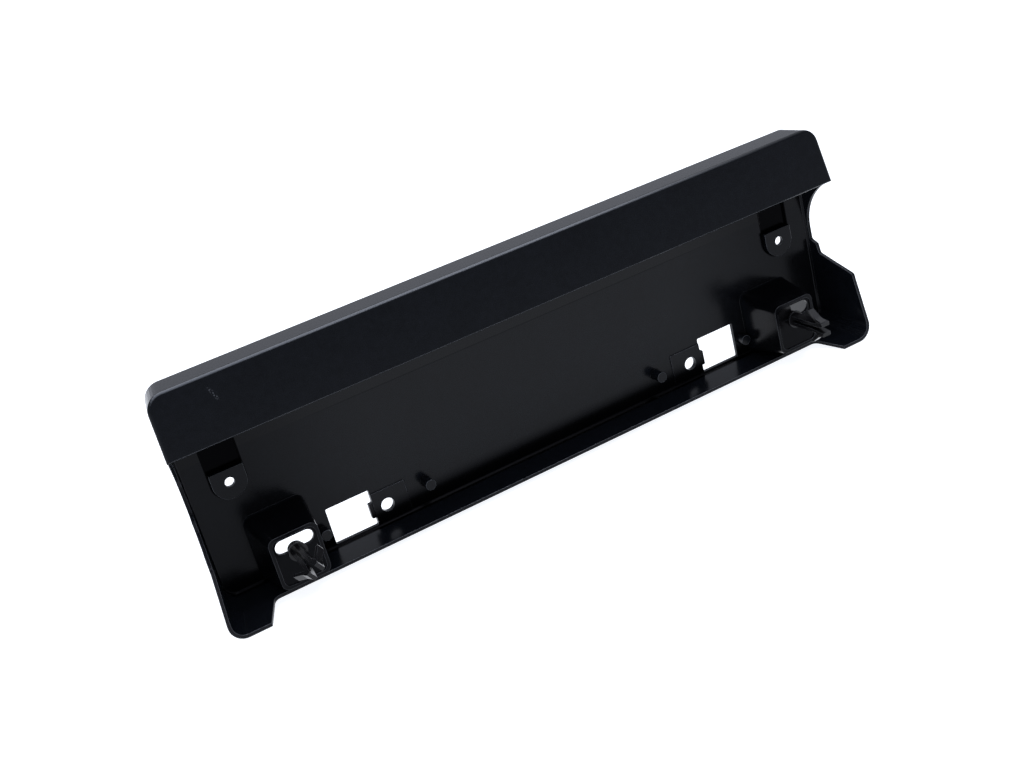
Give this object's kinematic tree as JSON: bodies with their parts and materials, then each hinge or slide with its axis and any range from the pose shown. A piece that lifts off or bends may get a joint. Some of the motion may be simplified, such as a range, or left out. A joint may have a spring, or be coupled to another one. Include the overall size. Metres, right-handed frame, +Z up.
{
  "type": "number plate holder",
  "caption": "Long moulded tray with a flat plate face, a folded back flange and two hollow towers, each carrying a push-in arrow clip.",
  "frame": {"origin": "on the flat plate face, midway between the two bumper screw holes", "axes": "+X along the plate, +Y from the plate face towards the bumper, +Z up"},
  "size_m": [0.549, 0.0775, 0.174],
  "materials": {
    "satin_black_plastic": "satin moulded plastic",
    "gloss_black_plastic": "gloss moulded plastic"
  },
  "bodies": {
    "root": {"holder": "satin_black_plastic", "clip_left": "gloss_black_plastic", "clip_right": "gloss_black_plastic"}
  },
  "joints": []
}
